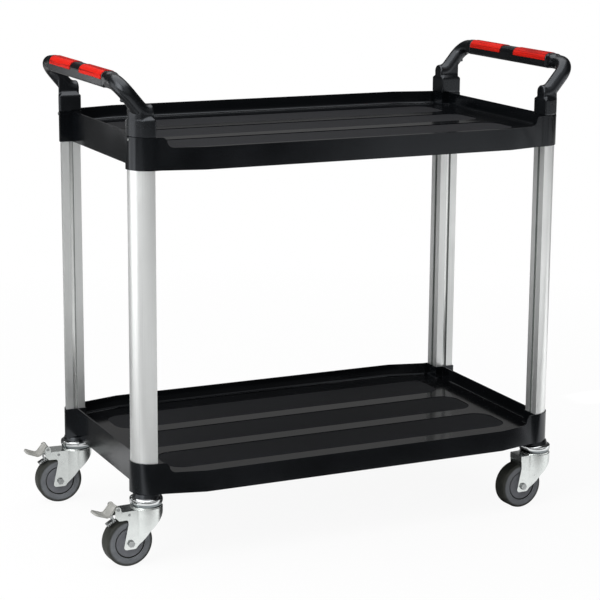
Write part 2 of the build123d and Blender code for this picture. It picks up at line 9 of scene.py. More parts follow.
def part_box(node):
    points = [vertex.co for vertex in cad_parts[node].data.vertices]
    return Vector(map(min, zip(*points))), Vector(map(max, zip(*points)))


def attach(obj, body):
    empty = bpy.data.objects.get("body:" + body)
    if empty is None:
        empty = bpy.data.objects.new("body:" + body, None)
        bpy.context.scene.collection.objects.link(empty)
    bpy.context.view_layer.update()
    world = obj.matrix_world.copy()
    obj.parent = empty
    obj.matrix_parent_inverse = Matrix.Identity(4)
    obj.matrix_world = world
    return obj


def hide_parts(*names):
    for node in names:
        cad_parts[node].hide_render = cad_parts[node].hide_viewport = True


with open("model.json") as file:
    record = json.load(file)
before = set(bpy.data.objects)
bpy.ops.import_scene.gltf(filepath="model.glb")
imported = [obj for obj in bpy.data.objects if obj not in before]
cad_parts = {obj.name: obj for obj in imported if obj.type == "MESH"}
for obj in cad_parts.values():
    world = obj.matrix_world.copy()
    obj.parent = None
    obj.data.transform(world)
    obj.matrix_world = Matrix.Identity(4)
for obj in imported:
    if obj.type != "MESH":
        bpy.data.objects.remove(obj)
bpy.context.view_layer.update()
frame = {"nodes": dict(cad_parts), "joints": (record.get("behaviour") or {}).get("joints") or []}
cadNodes = frame["nodes"]
joints = {joint["name"]: joint for joint in frame["joints"]}
corners = {"front_left": (-1, -1), "front_right": (1, -1), "rear_left": (-1, 1), "rear_right": (1, 1)}
brakedCorners = ("front_left", "rear_left")
# The trays' middle is off the origin, because the pedals reach out on one side
trayLow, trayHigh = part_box("top_tray")
trayMiddle = Vector(((trayLow.x + trayHigh.x) / 2, 0, 0))
print("frame loaded:", len(cadNodes), "nodes")


# Shader nodes in short

def addNode(tree, kind, settings=None, values=None):
    node = tree.nodes.new(kind)
    for key, value in (settings or {}).items():
        setattr(node, key, value)
    for key, value in (values or {}).items():
        node.inputs[key].default_value = value
    return node


def objectPoint(tree):
    return addNode(tree, "ShaderNodeTexCoord").outputs["Object"]


def mapRange(tree, source, low, high, toLow, toHigh):
    ends = {"From Min": low, "From Max": high, "To Min": toLow, "To Max": toHigh}
    node = addNode(tree, "ShaderNodeMapRange", None, ends)
    tree.links.new(source, node.inputs["Value"])
    return node.outputs["Result"]


def mathNode(tree, operation, first, second):
    node = addNode(tree, "ShaderNodeMath", {"operation": operation})
    tree.links.new(first, node.inputs[0])
    tree.links.new(second, node.inputs[1])
    return node.outputs["Value"]


def vectorNode(tree, operation, source, amount=None):
    node = addNode(tree, "ShaderNodeVectorMath", {"operation": operation})
    tree.links.new(source, node.inputs[0])
    if amount is not None:
        node.inputs[1].default_value = amount
    return node


# Shared shader groups

def newGroup(name, inputs, outputs):
    group = bpy.data.node_groups.new(name, "ShaderNodeTree")
    for label, value in inputs.items():
        kind = "NodeSocketVector" if isinstance(value, tuple) else "NodeSocketFloat"
        socket = group.interface.new_socket(name=label, in_out="INPUT", socket_type=kind)
        socket.default_value = value
    for label in outputs:
        group.interface.new_socket(name=label, in_out="OUTPUT", socket_type="NodeSocketFloat")
    groupIn = group.nodes.new("NodeGroupInput")
    groupOut = group.nodes.new("NodeGroupOutput")
    return group, groupIn, groupOut


def mouldGrainGroup():
    # Fine spark-eroded grain, with a slow drift of gloss over it
    group, groupIn, groupOut = newGroup(
        "mouldGrain",
        {"Scale": 900.0, "Drift": 9.0, "Low": 0.4, "High": 0.5},
        ["Height", "Rough", "Tone"])
    point = objectPoint(group)
    fine = addNode(group, "ShaderNodeTexNoise", None, {"Detail": 3.0, "Roughness": 0.6})
    broad = addNode(group, "ShaderNodeTexNoise", None, {"Detail": 4.0, "Roughness": 0.55})
    group.links.new(point, fine.inputs["Vector"])
    group.links.new(point, broad.inputs["Vector"])
    group.links.new(groupIn.outputs["Scale"], fine.inputs["Scale"])
    group.links.new(groupIn.outputs["Drift"], broad.inputs["Scale"])
    rough = addNode(group, "ShaderNodeMapRange", None, {"From Min": 0.3, "From Max": 0.7})
    group.links.new(broad.outputs["Fac"], rough.inputs["Value"])
    group.links.new(groupIn.outputs["Low"], rough.inputs["To Min"])
    group.links.new(groupIn.outputs["High"], rough.inputs["To Max"])
    group.links.new(fine.outputs["Fac"], groupOut.inputs["Height"])
    group.links.new(rough.outputs["Result"], groupOut.inputs["Rough"])
    group.links.new(broad.outputs["Fac"], groupOut.inputs["Tone"])
    return group


def lineMarksGroup():
    # Long thin lines along one direction, such as the lines of drawn metal or the ribs of a grip
    group, groupIn, groupOut = newGroup(
        "lineMarks",
        {"Stretch": (400.0, 400.0, 4.0), "From": 0.6, "To": 0.7},
        ["Line", "Mask"])
    scaled = vectorNode(group, "MULTIPLY", objectPoint(group))
    group.links.new(groupIn.outputs["Stretch"], scaled.inputs[1])
    noise = addNode(group, "ShaderNodeTexNoise", None, {"Scale": 1.0, "Detail": 2.0})
    group.links.new(scaled.outputs["Vector"], noise.inputs["Vector"])
    mask = addNode(group, "ShaderNodeMapRange")
    group.links.new(noise.outputs["Fac"], mask.inputs["Value"])
    group.links.new(groupIn.outputs["From"], mask.inputs["From Min"])
    group.links.new(groupIn.outputs["To"], mask.inputs["From Max"])
    group.links.new(noise.outputs["Fac"], groupOut.inputs["Line"])
    group.links.new(mask.outputs["Result"], groupOut.inputs["Mask"])
    return group


grainGroup = mouldGrainGroup()
lineGroup = lineMarksGroup()


def placeGroup(tree, group, values):
    return addNode(tree, "ShaderNodeGroup", {"node_tree": group}, values)


# Materials

toneSpread = (0.35, 0.68)  # the stretch of the drift over which a dark tone turns to a light one
daylightBlueTint = (0.88, 0.93, 1.0, 1.0)  # a painted blue tint on the gloss of black plastic, for the bluish daylight it mirrors
drawnLines = {"Stretch": (700.0, 700.0, 3.0), "From": 0.58, "To": 0.78}
turnedLines = {"Stretch": (90.0, 90.0, 700.0), "From": 0.55, "To": 0.8}


def tone(red, green, blue):
    # Screen tones from 0 to 255, turned to linear colour
    def linear(value):
        share = value / 255
        return share / 12.92 if share <= 0.04045 else ((share + 0.055) / 1.055) ** 2.4
    return (linear(red), linear(green), linear(blue), 1.0)


def startMaterial(name, sockets):
    material = bpy.data.materials.new(name)
    material.use_nodes = True
    tree = material.node_tree
    principled = tree.nodes["Principled BSDF"]
    for key, value in sockets.items():
        principled.inputs[key].default_value = value
    return material, tree, principled


def mixTones(tree, share, first, second):
    mix = addNode(tree, "ShaderNodeMix", {"data_type": "RGBA"}, {"A": first, "B": second})
    tree.links.new(share, mix.inputs["Factor"])
    return mix.outputs["Result"]


def addBump(tree, principled, height, strength, distance):
    bump = addNode(tree, "ShaderNodeBump", None, {"Strength": strength, "Distance": distance})
    tree.links.new(height, bump.inputs["Height"])
    tree.links.new(bump.outputs["Normal"], principled.inputs["Normal"])


def grainedMaterial(name, look):
    # Moulded or painted surface: two close tones, drifting gloss and a fine grain
    material, tree, principled = startMaterial(name, look["sockets"])
    grain = placeGroup(tree, grainGroup, look["grain"])
    spread = mapRange(tree, grain.outputs["Tone"], *toneSpread, 0.0, 1.0)
    colour = mixTones(tree, spread, look["dark"], look["light"])
    tree.links.new(colour, principled.inputs["Base Color"])
    tree.links.new(grain.outputs["Rough"], principled.inputs["Roughness"])
    addBump(tree, principled, grain.outputs["Height"], look["bump"], look["depth"])
    return material


def linedMaterial(name, look):
    # Long faint lines of a second tone: drawn metal, or the ribs of a grip
    material, tree, principled = startMaterial(name, look["sockets"])
    lines = placeGroup(tree, lineGroup, look["lines"])
    grain = placeGroup(tree, grainGroup, look["grain"])
    colour = mixTones(tree, lines.outputs["Mask"], look["light"], look["dark"])
    tree.links.new(colour, principled.inputs["Base Color"])
    tree.links.new(grain.outputs["Rough"], principled.inputs["Roughness"])
    addBump(tree, principled, lines.outputs["Line"], look["bump"], look["depth"])
    return material


def rubberMaterial(name, look):
    # Grey side and a darker tone for the rolling face, mixed by a share that is stored on the tyre's mesh;
    # the darker tone is also painted shade in the groove and over the shoulder
    material, tree, principled = startMaterial(name, look["sockets"])
    grain = placeGroup(tree, grainGroup, look["grain"])
    spread = mapRange(tree, grain.outputs["Tone"], *toneSpread, 0.0, 1.0)
    share = addNode(tree, "ShaderNodeAttribute", {"attribute_name": "treadShare"})
    both = addNode(tree, "ShaderNodeMix", {"data_type": "RGBA"})
    tree.links.new(share.outputs["Fac"], both.inputs["Factor"])
    tree.links.new(mixTones(tree, spread, *look["side"]), both.inputs["A"])
    tree.links.new(mixTones(tree, spread, *look["tread"]), both.inputs["B"])
    tree.links.new(both.outputs["Result"], principled.inputs["Base Color"])
    tree.links.new(grain.outputs["Rough"], principled.inputs["Roughness"])
    addBump(tree, principled, grain.outputs["Height"], look["bump"], look["depth"])
    return material


blackLook = {
    "sockets": {"Specular IOR Level": 0.6, "Specular Tint": daylightBlueTint},
    "grain": {"Scale": 1400.0, "Drift": 7.0, "Low": 0.13, "High": 0.19},
    "dark": tone(5, 7, 9),
    "light": tone(9, 11, 14),
    "bump": 0.05,
    "depth": 0.0004,
}
panelLook = {
    "sockets": {"Specular IOR Level": 0.16},
    "grain": {"Scale": 700.0, "Drift": 5.0, "Low": 0.6, "High": 0.75},
    "dark": tone(27, 28, 31),
    "light": tone(34, 35, 38),
    "bump": 0.35,
    "depth": 0.0006,
}
stripLook = {
    "sockets": {"Specular IOR Level": 0.36},
    "grain": {"Scale": 1600.0, "Drift": 12.0, "Low": 0.1, "High": 0.16},
    "dark": tone(9, 10, 12),
    "light": tone(14, 15, 17),
    "bump": 0.03,
    "depth": 0.0003,
}
armLook = {
    "sockets": {"Specular IOR Level": 0.7, "Specular Tint": daylightBlueTint},
    "grain": {"Scale": 1500.0, "Drift": 14.0, "Low": 0.25, "High": 0.33},
    "dark": tone(5, 7, 9),
    "light": tone(9, 11, 14),
    "bump": 0.08,
    "depth": 0.0004,
}
padLook = {
    "sockets": {"Specular IOR Level": 0.18},
    "lines": {"Stretch": (330.0, 6.0, 330.0), "From": 0.5, "To": 0.62},
    "grain": {"Scale": 1300.0, "Drift": 20.0, "Low": 0.5, "High": 0.62},
    "light": tone(207, 24, 8),
    "dark": tone(150, 8, 2),
    "bump": 0.3,
    "depth": 0.0005,
}
# Painted shade: a darker copy of the pad's red for the grooves
grooveShadeLook = {
    "sockets": {"Specular IOR Level": 0.1},
    "grain": {"Scale": 1300.0, "Drift": 20.0, "Low": 0.6, "High": 0.7},
    "dark": tone(116, 5, 2),
    "light": tone(128, 8, 3),
    "bump": 0.1,
    "depth": 0.0004,
}
# The darker tone is the rolling face's own rubber, and also painted shade in the groove and over the
# shoulder
tyreLook = {
    "sockets": {"Specular IOR Level": 0.3},
    "grain": {"Scale": 1200.0, "Drift": 45.0, "Low": 0.55, "High": 0.72},
    "side": (tone(110, 113, 117), tone(122, 125, 129)),
    "tread": (tone(44, 46, 42), tone(60, 61, 57)),
    "bump": 0.14,
    "depth": 0.0004,
}
coreLook = {
    "sockets": {"Specular IOR Level": 0.4},
    "grain": {"Scale": 1100.0, "Drift": 35.0, "Low": 0.42, "High": 0.55},
    "dark": tone(101, 103, 108),
    "light": tone(113, 115, 120),
    "bump": 0.1,
    "depth": 0.0004,
}
pedalLook = {
    "sockets": {"Specular IOR Level": 0.5},
    "grain": {"Scale": 700.0, "Drift": 45.0, "Low": 0.36, "High": 0.5},
    "dark": tone(158, 158, 154),
    "light": tone(176, 176, 172),
    "bump": 0.08,
    "depth": 0.0004,
}
uprightLook = {
    "sockets": {"Metallic": 0.8},
    "lines": drawnLines,
    "grain": {"Scale": 600.0, "Drift": 16.0, "Low": 0.31, "High": 0.38},
    "light": tone(246, 248, 247),
    "dark": tone(232, 235, 234),
    "bump": 0.04,
    "depth": 0.0003,
}
# Painted highlight: a whiter, barely metallic copy of the aluminium, for the slot floors in the flats that
# face X
slotFloorHighlightLook = {
    "sockets": {"Metallic": 0.15},
    "lines": drawnLines,
    "grain": {"Scale": 600.0, "Drift": 16.0, "Low": 0.26, "High": 0.32},
    "light": tone(252, 254, 253),
    "dark": tone(240, 242, 241),
    "bump": 0.02,
    "depth": 0.0003,
}
# Painted highlight: a lighter, less metallic, smoother copy of the aluminium, for the slot floors in the
# flats that face Y
slotLook = {
    "sockets": {"Metallic": 0.6},
    "lines": drawnLines,
    "grain": {"Scale": 600.0, "Drift": 16.0, "Low": 0.12, "High": 0.16},
    "light": tone(250, 252, 251),
    "dark": tone(238, 240, 239),
    "bump": 0.02,
    "depth": 0.0003,
}
# Painted shade: a darker copy of the aluminium, for the slot walls
slotWallShadeLook = {
    "sockets": {"Metallic": 1.0},
    "lines": drawnLines,
    "grain": {"Scale": 600.0, "Drift": 16.0, "Low": 0.3, "High": 0.38},
    "light": tone(132, 137, 135),
    "dark": tone(116, 121, 119),
    "bump": 0.04,
    "depth": 0.0003,
}
zincLook = {
    "sockets": {"Metallic": 1.0},
    "lines": {"Stretch": (260.0, 260.0, 320.0), "From": 0.45, "To": 0.75},
    "grain": {"Scale": 500.0, "Drift": 70.0, "Low": 0.2, "High": 0.28},
    "light": tone(234, 238, 236),
    "dark": tone(226, 231, 229),
    "bump": 0.02,
    "depth": 0.0003,
}
capLook = {
    "sockets": {"Metallic": 1.0},
    "lines": turnedLines,
    "grain": {"Scale": 500.0, "Drift": 60.0, "Low": 0.1, "High": 0.14},
    "light": tone(226, 229, 230),
    "dark": tone(214, 217, 219),
    "bump": 0.006,
    "depth": 0.0002,
}
# Painted reflection: a darker copy of the chrome for the cap's lower band, standing in for mirrored dark
# surroundings
capRimShadeLook = {
    "sockets": {"Metallic": 1.0},
    "lines": turnedLines,
    "grain": {"Scale": 500.0, "Drift": 60.0, "Low": 0.12, "High": 0.17},
    "light": tone(134, 140, 142),
    "dark": tone(120, 126, 128),
    "bump": 0.006,
    "depth": 0.0002,
}
steelLook = {
    "sockets": {"Metallic": 1.0},
    "lines": {"Stretch": (120.0, 700.0, 120.0), "From": 0.5, "To": 0.75},
    "grain": {"Scale": 500.0, "Drift": 80.0, "Low": 0.2, "High": 0.32},
    "light": tone(172, 175, 175),
    "dark": tone(128, 132, 132),
    "bump": 0.05,
    "depth": 0.0003,
}
bushLook = {
    "sockets": {"Specular IOR Level": 0.4},
    "grain": {"Scale": 900.0, "Drift": 40.0, "Low": 0.4, "High": 0.5},
    "dark": tone(216, 215, 208),
    "light": tone(228, 227, 221),
    "bump": 0.06,
    "depth": 0.0003,
}

blackMoulding = grainedMaterial("blackMoulding", blackLook)
panelTexture = grainedMaterial("panelTexture", panelLook)
floorStrip = grainedMaterial("floorStrip", stripLook)
armMoulding = grainedMaterial("armMoulding", armLook)
redPad = linedMaterial("redPad", padLook)
redGroovePaintedShade = grainedMaterial("redGroovePaintedShade", grooveShadeLook)
tyreRubber = rubberMaterial("tyreRubber", tyreLook)
coreGrey = grainedMaterial("coreGrey", coreLook)
pedalPaint = grainedMaterial("pedalPaint", pedalLook)
bushNylon = grainedMaterial("bushNylon", bushLook)
uprightAluminium = linedMaterial("uprightAluminium", uprightLook)
slotAluminium = linedMaterial("slotAluminium", slotLook)
slotFloorHighlightX = linedMaterial("slotFloorHighlightX", slotFloorHighlightLook)
slotWallPaintedShade = linedMaterial("slotWallPaintedShade", slotWallShadeLook)
zincSheet = linedMaterial("zincSheet", zincLook)
capChrome = linedMaterial("capChrome", capLook)
capRimPaintedDark = linedMaterial("capRimPaintedDark", capRimShadeLook)
brightSteel = linedMaterial("brightSteel", steelLook)
print("materials made")


# Making pieces

meshCare = {
    "merge": 1e-6,  # metres
    "flat": 0.3,  # degrees, under which faces are joined to one
    "corner": 28,  # degrees, over which an edge is rounded
    "smooth": 35,  # degrees, up to which shading runs over an edge
    "edgeSteps": 2,
    "cornerSteps": 4,
    "turnSteps": 96,
}


def toMesh(name, bm):
    mesh = bpy.data.meshes.new(name)
    bm.to_mesh(mesh)
    bm.free()
    return mesh


def addObject(name, data):
    thing = bpy.data.objects.new(name, data)
    bpy.context.scene.collection.objects.link(thing)
    return thing


def settlePiece(piece, node, body):
    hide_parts(node)
    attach(piece, body)


def finishPiece(node, bm, materials, body, smoothAngle=meshCare["smooth"]):
    mesh = toMesh(node, bm)
    for material in materials:
        mesh.materials.append(material)
    mesh.polygons.foreach_set("use_smooth", [True] * len(mesh.polygons))
    mesh.set_sharp_from_angle(angle=math.radians(smoothAngle))
    piece = addObject(node + "_look", mesh)
    even = piece.modifiers.new("evenNormals", "WEIGHTED_NORMAL")
    even.keep_sharp = True
    settlePiece(piece, node, body)


def mergedCopy(node):
    # A copy of a node's mesh with its flat faces joined
    bm = bmesh.new()
    bm.from_mesh(cadNodes[node].data)
    bmesh.ops.remove_doubles(bm, verts=bm.verts, dist=meshCare["merge"])
    flat = math.radians(meshCare["flat"])
    bmesh.ops.dissolve_limit(bm, angle_limit=flat, verts=bm.verts, edges=bm.edges)
    return bm


def sharpEdges(bm, cornerAngle=meshCare["corner"]):
    limit = math.radians(cornerAngle)
    return [edge for edge in bm.edges if edge.is_manifold and edge.calc_face_angle() > limit]


def bevelEdges(bm, edges, width, segments=meshCare["edgeSteps"], clamp=True):
    bmesh.ops.bevel(
        bm, geom=edges, offset=width, offset_type="OFFSET", affect="EDGES", segments=segments,
        profile=0.5, material=-1, clamp_overlap=clamp)


def bevelCorners(bm, verts, width, segments):
    bmesh.ops.bevel(
        bm, geom=verts, offset=width, offset_type="OFFSET", affect="VERTICES", segments=segments,
        profile=0.5, material=-1)


def softenedCopy(node, width):
    # The copy with its edges rounded
    bm = mergedCopy(node)
    bevelEdges(bm, sharpEdges(bm), width)
    return bm


def dressNode(node, edge, material, body):
    finishPiece(node, softenedCopy(node, edge), [material], body)


def turnedPiece(profile):
    # Profile points are (radius, distance along Z, rounding of the corner), spun about Z
    bm = bmesh.new()
    points = [bm.verts.new((radius, 0, along)) for radius, along, size in profile]
    for first, second in zip(points, points[1:] + points[:1]):
        bm.edges.new((first, second))
    sizes = [size for radius, along, size in profile]
    for point, size in reversed(list(zip(points, sizes))):
        if size > 0:
            bevelCorners(bm, [point], size, meshCare["cornerSteps"])
    bmesh.ops.spin(
        bm, geom=list(bm.verts) + list(bm.edges), cent=(0, 0, 0), axis=(0, 0, 1), dvec=(0, 0, 0),
        angle=2 * math.pi, steps=meshCare["turnSteps"], use_merge=True, use_duplicate=False)
    bmesh.ops.remove_doubles(bm, verts=bm.verts, dist=meshCare["merge"])
    bmesh.ops.recalc_face_normals(bm, faces=bm.faces)
    return bm


def turnTo(direction):
    # The turn that takes Z to a direction
    return Vector((0, 0, 1)).rotation_difference(Vector(direction)).to_matrix().to_4x4()


# Trays

tray = {
    "edge": 0.0009,
    "floorTop": 0.0374,  # the strips, above the skirt's lower edge
    "panelDepth": 0.0015,
    "slack": 0.0004,
    "facingUp": 0.9,  # least Z of a floor face's normal
}


def dressTray(node):
    bm = softenedCopy(node, tray["edge"])
    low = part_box(node)[0]
    stripHeight = low.z + tray["floorTop"]
    panelHeight = stripHeight - tray["panelDepth"]
    for face in bm.faces:
        height = face.calc_center_median().z
        if face.normal.z > tray["facingUp"] and abs(height - panelHeight) < tray["slack"]:
            face.material_index = 1
        elif face.normal.z > tray["facingUp"] and abs(height - stripHeight) < tray["slack"]:
            face.material_index = 2
    finishPiece(node, bm, [blackMoulding, panelTexture, floorStrip], "frame")


for node in ("top_tray", "bottom_tray"):
    dressTray(node)
print("trays dressed")


# Handle arms

arm = {
    "barWidth": 0.0294, "barDepth": 0.0286, "topRound": 0.0125, "bottomRound": 0.0048, "roundSteps": 6,
    "tubeRadius": 0.016, "tubeSteps": 48, "tail": 0.034, "lean": (0.0019, 0.0628, -0.0039),
    "skin": 0.0014, "softness": 0.5, "passes": 6,
}


def armTail(corner):
    # Smooth change from the grip bar's outline at the seam to the round tube at the bend
    sideX, sideY = corners[corner]
    low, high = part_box("grip_bar_" + corner.split("_")[1])
    seam = Vector(((low.x + high.x) / 2, high.y if sideY > 0 else low.y, (low.z + high.z) / 2))
    lean = Vector((sideX * arm["lean"][0], sideY * arm["lean"][1], arm["lean"][2])).normalized()
    bm = bmesh.new()
    standing = Matrix.Rotation(math.radians(90), 4, "X")
    outline = Matrix.Translation(seam) @ standing @ Matrix.Diagonal((arm["barWidth"], arm["barDepth"], 1, 1))
    bmesh.ops.create_grid(bm, x_segments=1, y_segments=1, size=0.5, matrix=outline)
    upper = [vert for vert in bm.verts if vert.co.z > seam.z]
    lower = [vert for vert in bm.verts if vert.co.z < seam.z]
    bevelCorners(bm, upper, arm["topRound"], arm["roundSteps"])
    bevelCorners(bm, lower, arm["bottomRound"], arm["roundSteps"])
    bend = Matrix.Translation(seam + lean * arm["tail"]) @ turnTo(lean)
    bmesh.ops.create_circle(
        bm, cap_ends=True, radius=arm["tubeRadius"], segments=arm["tubeSteps"], matrix=bend)
    bmesh.ops.convex_hull(bm, input=bm.verts)
    bmesh.ops.recalc_face_normals(bm, faces=bm.faces)
    return toMesh("armTail", bm)


def makeArm(corner):
    # The node's shape and its tail under one even skin, smoothed so that the parts run into one another
    node = "handle_arm_" + corner
    tail = armTail(corner)
    bm = bmesh.new()
    bm.from_mesh(cadNodes[node].data)
    bm.from_mesh(tail)
    bmesh.ops.remove_doubles(bm, verts=bm.verts, dist=meshCare["merge"])
    bpy.data.meshes.remove(tail)
    mesh = toMesh(node, bm)
    mesh.materials.append(armMoulding)
    piece = addObject(node + "_look", mesh)
    skin = piece.modifiers.new("evenSkin", "REMESH")
    skin.mode = "VOXEL"
    skin.voxel_size = arm["skin"]
    skin.use_smooth_shade = True
    joins = piece.modifiers.new("softJoins", "SMOOTH")
    joins.factor = arm["softness"]
    joins.iterations = arm["passes"]
    settlePiece(piece, node, "frame")


for corner in corners:
    makeArm(corner)
print("handle arms made")


# Uprights

upright = {
    "edge": 0.0005,
    "slotMiddle": 0.0216, "slotHalf": 0.0049,  # across the flat
    "slotLip": 0.0004, "slotFloor": 0.0074, "slotDepth": 0.0086,  # in from the flat
    "floorSlack": 0.0003, "wallSlack": 0.0004,
    "floorLift": 0.003,  # the photo shows the slots shallower than the solids have them
    "facingUp": 0.5,  # most Z of the normal of a face along the slot
}


def inSlot(depth, across, shallowest, slack=0.0):
    deepEnough = shallowest < depth < upright["slotDepth"]
    return deepEnough and abs(across - upright["slotMiddle"]) < upright["slotHalf"] + slack


def makeUpright(corner):
    # The slot floors are smoother than the brushed faces and get lighter copies of the aluminium as painted
    # highlight; the slot walls get a darker copy as painted shade
    sideX, sideY = corners[corner]
    node = "upright_" + corner
    low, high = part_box(node)
    flatX = low.x if sideX > 0 else high.x
    flatY = low.y if sideY > 0 else high.y
    bm = softenedCopy(node, upright["edge"])
    for face in bm.faces:
        middle = face.calc_center_median()
        inX, inY = abs(middle.x - flatX), abs(middle.y - flatY)
        # Slot floors get the lighter copies as painted highlight, slot walls the darker copy as painted
        # shade
        for depth, across, floorIndex in ((inX, inY, 3), (inY, inX, 1)):
            if inSlot(depth, across, upright["slotLip"]) and abs(face.normal.z) < upright["facingUp"]:
                face.material_index = floorIndex if depth > upright["slotFloor"] else 2
    outX, outY = Vector((-sideX, 0, 0)), Vector((0, -sideY, 0))
    floorFrom = upright["slotFloor"] - upright["floorSlack"]
    for vert in bm.verts:
        inX, inY = abs(vert.co.x - flatX), abs(vert.co.y - flatY)
        for depth, across, outwards in ((inX, inY, outX), (inY, inX, outY)):
            if inSlot(depth, across, floorFrom, upright["wallSlack"]):
                vert.co += outwards * upright["floorLift"]
    finishes = [uprightAluminium, slotAluminium, slotWallPaintedShade, slotFloorHighlightX]
    finishPiece(node, bm, finishes, "frame")


# Grips and sockets

grip = {
    "barEdge": 0.0005, "barAngle": 50,
    "endChamfer": 0.0016, "endAngle": 70, "endSlack": 1e-5,
    "padEdge": 0.0006,
    "groovePitch": 0.0046, "grooveHalf": 0.0008, "grooveReach": 0.0055,
    "facingEnd": 0.5, "facingDown": -0.1,  # limits of the normal's Y and Z on a groove's faces
}
socketEdge = 0.0008


def makeBar(node):
    # The ends are chamfered, which shows as a line where the bar meets the arms
    bm = mergedCopy(node)
    low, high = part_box(node)

    def atEnd(vert):
        return min(vert.co.y - low.y, high.y - vert.co.y) < grip["endSlack"]

    ends = [edge for edge in sharpEdges(bm, grip["endAngle"]) if all(atEnd(vert) for vert in edge.verts)]
    bevelEdges(bm, ends, grip["endChamfer"], segments=1, clamp=False)
    bevelEdges(bm, sharpEdges(bm, grip["barAngle"]), grip["barEdge"])
    finishPiece(node, bm, [armMoulding], "frame")


def makePad(node):
    # The grooves along the pad are painted a darker red, as painted shade in the grooves
    low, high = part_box(node)
    pitch = grip["groovePitch"]
    bm = softenedCopy(node, grip["padEdge"])
    for face in bm.faces:
        offMiddle = abs(face.calc_center_median().x - (low.x + high.x) / 2)
        offGroove = abs(offMiddle - round(offMiddle / pitch) * pitch)
        inGroove = offGroove < grip["grooveHalf"] and offMiddle < grip["grooveReach"]
        if inGroove and abs(face.normal.y) < grip["facingEnd"] and face.normal.z > grip["facingDown"]:
            face.material_index = 1
    finishPiece(node, bm, [redPad, redGroovePaintedShade], "frame")


for corner in corners:
    makeUpright(corner)
    dressNode("castor_socket_" + corner, socketEdge, armMoulding, "frame")
for end in ("left", "right"):
    makeBar("grip_bar_" + end)
    for side in ("front", "rear"):
        makePad("grip_pad_" + side + "_" + end)
print("uprights, grips and sockets dressed")


# Wheels

tyre = {
    "radius": 0.05, "half": 0.017, "inner": 0.02985, "lip": 0.016,
    "grooveWidth": 0.0024, "grooveDepth": 0.0026, "grooveSlack": 0.0001,
    "shoulder": 0.0048, "wallRound": 0.002, "lipRound": 0.0005,
    "treadFrom": 0.0078, "treadBlend": 0.0036,  # where the darker tone of the rolling face and the painted shade over the shoulder start, and over what length
    "smooth": 50,
}
core = {
    "outer": 0.0298, "face": 0.016, "chamfer": 0.0006, "faceRound": 0.0004,
    "hub": 0.014, "hubFace": 0.0175, "hubSlope": 0.001, "hubRound": 0.0006, "bore": 0.00805,
}


def bothSides(side):
    # A wheel's profile: one side's points, and back along the other side
    return side + [(radius, -along, size) for radius, along, size in reversed(side)]


def setOnAxle(bm, corner):
    spin = joints["wheel_spin_" + corner]
    place = Matrix.Translation(Vector(spin["pos_m"])) @ turnTo(spin["axis"])
    bmesh.ops.transform(bm, matrix=place, verts=bm.verts)


def makeTyre(corner):
    grooveFloor = tyre["lip"] - tyre["grooveDepth"]
    grooveEdge = tyre["inner"] + tyre["grooveWidth"]
    bm = turnedPiece(bothSides([
        (tyre["inner"], grooveFloor, 0),
        (grooveEdge, grooveFloor, 0),
        (grooveEdge, tyre["lip"], tyre["lipRound"]),
        (tyre["radius"] - 2 * tyre["shoulder"], tyre["half"], tyre["wallRound"]),
        (tyre["radius"], tyre["half"], tyre["shoulder"]),
    ]))
    # The groove is painted as dark as the rolling face, as painted shade
    share = bm.verts.layers.float.new("treadShare")
    for vert in bm.verts:
        reach = math.hypot(vert.co.x, vert.co.y)
        rolling = (reach - tyre["radius"] + tyre["treadFrom"]) / tyre["treadBlend"]
        vert[share] = 1.0 if reach < grooveEdge + tyre["grooveSlack"] else min(max(rolling, 0.0), 1.0)
    setOnAxle(bm, corner)
    finishPiece("tyre_" + corner, bm, [tyreRubber], "wheel_" + corner, tyre["smooth"])


def makeCore(corner):
    bm = turnedPiece(bothSides([
        (core["bore"], core["hubFace"], 0),
        (core["hub"], core["hubFace"], core["hubRound"]),
        (core["hub"] + core["hubSlope"], core["face"], core["hubRound"]),
        (core["outer"] - core["chamfer"], core["face"], core["faceRound"]),
        (core["outer"], core["face"] - core["chamfer"], 0),
    ]))
    setOnAxle(bm, corner)
    finishPiece("wheel_core_" + corner, bm, [coreGrey], "wheel_" + corner)


# Castors

cap = {
    "bore": 0.00505, "top": 0.0285, "shoulderOut": 0.0335, "widest": 0.0352, "rimInset": 0.0034,
    "shoulderDrop": 0.0022, "bulge": 0.0085, "rimLine": 0.0105,  # below the top
    "topRound": 0.0006, "shoulderRound": 0.0034, "bulgeRound": 0.005,
    "sheet": 0.0018, "smooth": 60,
}
fork = {
    "bend": 0.0022, "bendSteps": 4, "edge": 0.0006,
    "crownFacing": 0.99, "facingDown": -0.1,  # limits of the normal's Z
    "bendAngle": 1.2,  # radians
}
fittings = {"pedalEdge": 0.0007, "smallEdge": 0.0003, "nutEdge": 0.0005}


def makeCap(corner):
    node = "castor_cap_" + corner
    swivel = joints["castor_swivel_" + corner]["pos_m"]
    low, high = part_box(node)
    drop = high.z - low.z
    sheet = cap["sheet"]
    bell = [
        (cap["shoulderOut"], -cap["shoulderDrop"], cap["shoulderRound"]),
        (cap["widest"], -cap["bulge"], cap["bulgeRound"]),
        (cap["widest"] - cap["rimInset"], -drop, 0),
    ]
    inside = [(radius - sheet, max(along - sheet, -drop), size) for radius, along, size in reversed(bell)]
    plateTop = [(cap["bore"], 0, 0), (cap["top"], 0, cap["topRound"])]
    plateUnder = [(cap["top"] - sheet, -sheet, 0), (cap["bore"], -sheet, 0)]
    bm = turnedPiece(plateTop + bell + inside + plateUnder)
    # The drawn-in rim is painted darker than the bell, a painted reflection of dark surroundings
    for face in bm.faces:
        if face.calc_center_median().z < -cap["rimLine"]:
            face.material_index = 1
    bmesh.ops.translate(bm, vec=(swivel[0], swivel[1], high.z), verts=bm.verts)
    finishPiece(node, bm, [capChrome, capRimPaintedDark], "frame", cap["smooth"])


